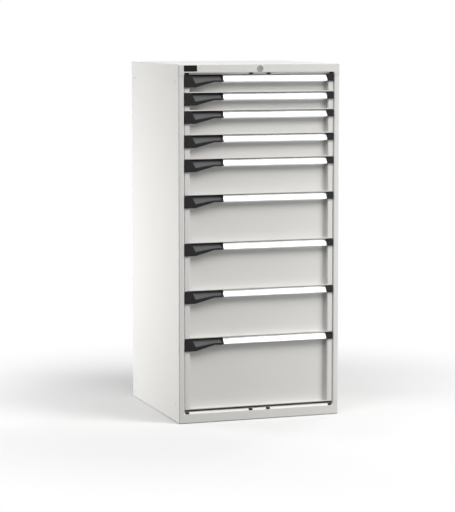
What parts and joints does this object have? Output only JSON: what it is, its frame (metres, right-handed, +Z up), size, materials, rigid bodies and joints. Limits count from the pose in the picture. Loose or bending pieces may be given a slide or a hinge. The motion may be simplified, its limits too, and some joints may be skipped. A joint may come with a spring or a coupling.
{
  "type": "drawer cabinet",
  "caption": "Tall free-standing steel tool cabinet with full-extension drawers, label-strip handles, latch levers and a central lock.",
  "frame": {"origin": "on the floor, under the middle of the cabinet's overall box", "axes": "+X to the right seen from the front, -Y out of the front, +Z up"},
  "size_m": [0.717, 0.697, 1.5],
  "materials": {
    "cabinet_paint": "satin powder coat",
    "drawer_paint": "satin powder coat",
    "handle_aluminium": "satin anodised",
    "black_plastic": "fine matt",
    "lever_plastic": "fine matt",
    "zinc_steel": "zinc plated",
    "lock_metal": "satin nickel",
    "plate_plastic": "smooth",
    "plug_plastic": "fine matt"
  },
  "bodies": {
    "cabinet": {"base": "cabinet_paint", "top_cover": "cabinet_paint", "side_panel_left": "cabinet_paint", "side_panel_right": "cabinet_paint", "back_panel": "cabinet_paint", "side_hole_plugs": "plug_plastic", "slotted_uprights": "zinc_steel", "cabinet_runners_left": "zinc_steel", "cabinet_runners_right": "zinc_steel", "lock_housing": "lock_metal", "lock_bar_guides": "zinc_steel", "nameplate": "plate_plastic"},
    "lock_plug": {"lock_plug": "lock_metal", "lock_shaft": "zinc_steel"},
    "lock_bar": {"lock_bar": "zinc_steel"},
    "drawer_1": {"drawer_1_tray": "drawer_paint", "drawer_1_handle": "handle_aluminium", "drawer_1_end_caps": "black_plastic"},
    "drawer_1_middle_runners": {"drawer_1_middle_runners": "zinc_steel"},
    "drawer_1_latch_lever": {"drawer_1_latch_lever": "lever_plastic"},
    "drawer_2": {"drawer_2_tray": "drawer_paint", "drawer_2_handle": "handle_aluminium", "drawer_2_end_caps": "black_plastic"},
    "drawer_2_middle_runners": {"drawer_2_middle_runners": "zinc_steel"},
    "drawer_2_latch_lever": {"drawer_2_latch_lever": "lever_plastic"},
    "drawer_3": {"drawer_3_tray": "drawer_paint", "drawer_3_handle": "handle_aluminium", "drawer_3_end_caps": "black_plastic"},
    "drawer_3_middle_runners": {"drawer_3_middle_runners": "zinc_steel"},
    "drawer_3_latch_lever": {"drawer_3_latch_lever": "lever_plastic"},
    "drawer_4": {"drawer_4_tray": "drawer_paint", "drawer_4_handle": "handle_aluminium", "drawer_4_end_caps": "black_plastic"},
    "drawer_4_middle_runners": {"drawer_4_middle_runners": "zinc_steel"},
    "drawer_4_latch_lever": {"drawer_4_latch_lever": "lever_plastic"},
    "drawer_5": {"drawer_5_tray": "drawer_paint", "drawer_5_handle": "handle_aluminium", "drawer_5_end_caps": "black_plastic"},
    "drawer_5_middle_runners": {"drawer_5_middle_runners": "zinc_steel"},
    "drawer_5_latch_lever": {"drawer_5_latch_lever": "lever_plastic"},
    "drawer_6": {"drawer_6_tray": "drawer_paint", "drawer_6_handle": "handle_aluminium", "drawer_6_end_caps": "black_plastic"},
    "drawer_6_middle_runners": {"drawer_6_middle_runners": "zinc_steel"},
    "drawer_6_latch_lever": {"drawer_6_latch_lever": "lever_plastic"},
    "drawer_7": {"drawer_7_tray": "drawer_paint", "drawer_7_handle": "handle_aluminium", "drawer_7_end_caps": "black_plastic"},
    "drawer_7_middle_runners": {"drawer_7_middle_runners": "zinc_steel"},
    "drawer_7_latch_lever": {"drawer_7_latch_lever": "lever_plastic"},
    "drawer_8": {"drawer_8_tray": "drawer_paint", "drawer_8_handle": "handle_aluminium", "drawer_8_end_caps": "black_plastic"},
    "drawer_8_middle_runners": {"drawer_8_middle_runners": "zinc_steel"},
    "drawer_8_latch_lever": {"drawer_8_latch_lever": "lever_plastic"},
    "drawer_9": {"drawer_9_tray": "drawer_paint", "drawer_9_handle": "handle_aluminium", "drawer_9_end_caps": "black_plastic"},
    "drawer_9_middle_runners": {"drawer_9_middle_runners": "zinc_steel"},
    "drawer_9_latch_lever": {"drawer_9_latch_lever": "lever_plastic"}
  },
  "joints": [
    {"name": "lock_turn", "type": "hinge", "parent": "cabinet", "child": "lock_plug", "pos_m": [0, -0.3465, 1.4815], "axis": [0, 1, 0], "range_deg": [0, 90]},
    {"name": "lock_bar_lift", "type": "slide", "parent": "cabinet", "child": "lock_bar", "axis": [0, 0, 1], "range_m": [0, 0.012]},
    {"name": "drawer_1_slide", "type": "slide", "parent": "cabinet", "child": "drawer_1", "axis": [0, -1, 0], "range_m": [0, 0.6]},
    {"name": "drawer_1_runner_slide", "type": "slide", "parent": "cabinet", "child": "drawer_1_middle_runners", "axis": [0, -1, 0], "range_m": [0, 0.3]},
    {"name": "drawer_1_latch_turn", "type": "hinge", "parent": "drawer_1", "child": "drawer_1_latch_lever", "pos_m": [-0.296, -0.34, 1.4255], "axis": [0, 0, -1], "range_deg": [0, 14], "stiffness_Nm_per_rad": 0.3},
    {"name": "drawer_2_slide", "type": "slide", "parent": "cabinet", "child": "drawer_2", "axis": [0, -1, 0], "range_m": [0, 0.6]},
    {"name": "drawer_2_runner_slide", "type": "slide", "parent": "cabinet", "child": "drawer_2_middle_runners", "axis": [0, -1, 0], "range_m": [0, 0.3]},
    {"name": "drawer_2_latch_turn", "type": "hinge", "parent": "drawer_2", "child": "drawer_2_latch_lever", "pos_m": [-0.296, -0.34, 1.3505], "axis": [0, 0, -1], "range_deg": [0, 14], "stiffness_Nm_per_rad": 0.3},
    {"name": "drawer_3_slide", "type": "slide", "parent": "cabinet", "child": "drawer_3", "axis": [0, -1, 0], "range_m": [0, 0.6]},
    {"name": "drawer_3_runner_slide", "type": "slide", "parent": "cabinet", "child": "drawer_3_middle_runners", "axis": [0, -1, 0], "range_m": [0, 0.3]},
    {"name": "drawer_3_latch_turn", "type": "hinge", "parent": "drawer_3", "child": "drawer_3_latch_lever", "pos_m": [-0.296, -0.34, 1.2755], "axis": [0, 0, -1], "range_deg": [0, 14], "stiffness_Nm_per_rad": 0.3},
    {"name": "drawer_4_slide", "type": "slide", "parent": "cabinet", "child": "drawer_4", "axis": [0, -1, 0], "range_m": [0, 0.6]},
    {"name": "drawer_4_runner_slide", "type": "slide", "parent": "cabinet", "child": "drawer_4_middle_runners", "axis": [0, -1, 0], "range_m": [0, 0.3]},
    {"name": "drawer_4_latch_turn", "type": "hinge", "parent": "drawer_4", "child": "drawer_4_latch_lever", "pos_m": [-0.296, -0.34, 1.1755], "axis": [0, 0, -1], "range_deg": [0, 14], "stiffness_Nm_per_rad": 0.3},
    {"name": "drawer_5_slide", "type": "slide", "parent": "cabinet", "child": "drawer_5", "axis": [0, -1, 0], "range_m": [0, 0.6]},
    {"name": "drawer_5_runner_slide", "type": "slide", "parent": "cabinet", "child": "drawer_5_middle_runners", "axis": [0, -1, 0], "range_m": [0, 0.3]},
    {"name": "drawer_5_latch_turn", "type": "hinge", "parent": "drawer_5", "child": "drawer_5_latch_lever", "pos_m": [-0.296, -0.34, 1.0755], "axis": [0, 0, -1], "range_deg": [0, 14], "stiffness_Nm_per_rad": 0.3},
    {"name": "drawer_6_slide", "type": "slide", "parent": "cabinet", "child": "drawer_6", "axis": [0, -1, 0], "range_m": [0, 0.6]},
    {"name": "drawer_6_runner_slide", "type": "slide", "parent": "cabinet", "child": "drawer_6_middle_runners", "axis": [0, -1, 0], "range_m": [0, 0.3]},
    {"name": "drawer_6_latch_turn", "type": "hinge", "parent": "drawer_6", "child": "drawer_6_latch_lever", "pos_m": [-0.296, -0.34, 0.9255], "axis": [0, 0, -1], "range_deg": [0, 14], "stiffness_Nm_per_rad": 0.3},
    {"name": "drawer_7_slide", "type": "slide", "parent": "cabinet", "child": "drawer_7", "axis": [0, -1, 0], "range_m": [0, 0.6]},
    {"name": "drawer_7_runner_slide", "type": "slide", "parent": "cabinet", "child": "drawer_7_middle_runners", "axis": [0, -1, 0], "range_m": [0, 0.3]},
    {"name": "drawer_7_latch_turn", "type": "hinge", "parent": "drawer_7", "child": "drawer_7_latch_lever", "pos_m": [-0.296, -0.34, 0.7255], "axis": [0, 0, -1], "range_deg": [0, 14], "stiffness_Nm_per_rad": 0.3},
    {"name": "drawer_8_slide", "type": "slide", "parent": "cabinet", "child": "drawer_8", "axis": [0, -1, 0], "range_m": [0, 0.6]},
    {"name": "drawer_8_runner_slide", "type": "slide", "parent": "cabinet", "child": "drawer_8_middle_runners", "axis": [0, -1, 0], "range_m": [0, 0.3]},
    {"name": "drawer_8_latch_turn", "type": "hinge", "parent": "drawer_8", "child": "drawer_8_latch_lever", "pos_m": [-0.296, -0.34, 0.5255], "axis": [0, 0, -1], "range_deg": [0, 14], "stiffness_Nm_per_rad": 0.3},
    {"name": "drawer_9_slide", "type": "slide", "parent": "cabinet", "child": "drawer_9", "axis": [0, -1, 0], "range_m": [0, 0.6]},
    {"name": "drawer_9_runner_slide", "type": "slide", "parent": "cabinet", "child": "drawer_9_middle_runners", "axis": [0, -1, 0], "range_m": [0, 0.3]},
    {"name": "drawer_9_latch_turn", "type": "hinge", "parent": "drawer_9", "child": "drawer_9_latch_lever", "pos_m": [-0.296, -0.34, 0.3255], "axis": [0, 0, -1], "range_deg": [0, 14], "stiffness_Nm_per_rad": 0.3}
  ],
  "couplings": [
    {"joint": "lock_turn", "follows": "lock_bar_lift", "rad_per_m": 130.89},
    {"joint": "drawer_1_runner_slide", "follows": "drawer_1_slide", "ratio": 0.5},
    {"joint": "drawer_2_runner_slide", "follows": "drawer_2_slide", "ratio": 0.5},
    {"joint": "drawer_3_runner_slide", "follows": "drawer_3_slide", "ratio": 0.5},
    {"joint": "drawer_4_runner_slide", "follows": "drawer_4_slide", "ratio": 0.5},
    {"joint": "drawer_5_runner_slide", "follows": "drawer_5_slide", "ratio": 0.5},
    {"joint": "drawer_6_runner_slide", "follows": "drawer_6_slide", "ratio": 0.5},
    {"joint": "drawer_7_runner_slide", "follows": "drawer_7_slide", "ratio": 0.5},
    {"joint": "drawer_8_runner_slide", "follows": "drawer_8_slide", "ratio": 0.5},
    {"joint": "drawer_9_runner_slide", "follows": "drawer_9_slide", "ratio": 0.5}
  ]
}
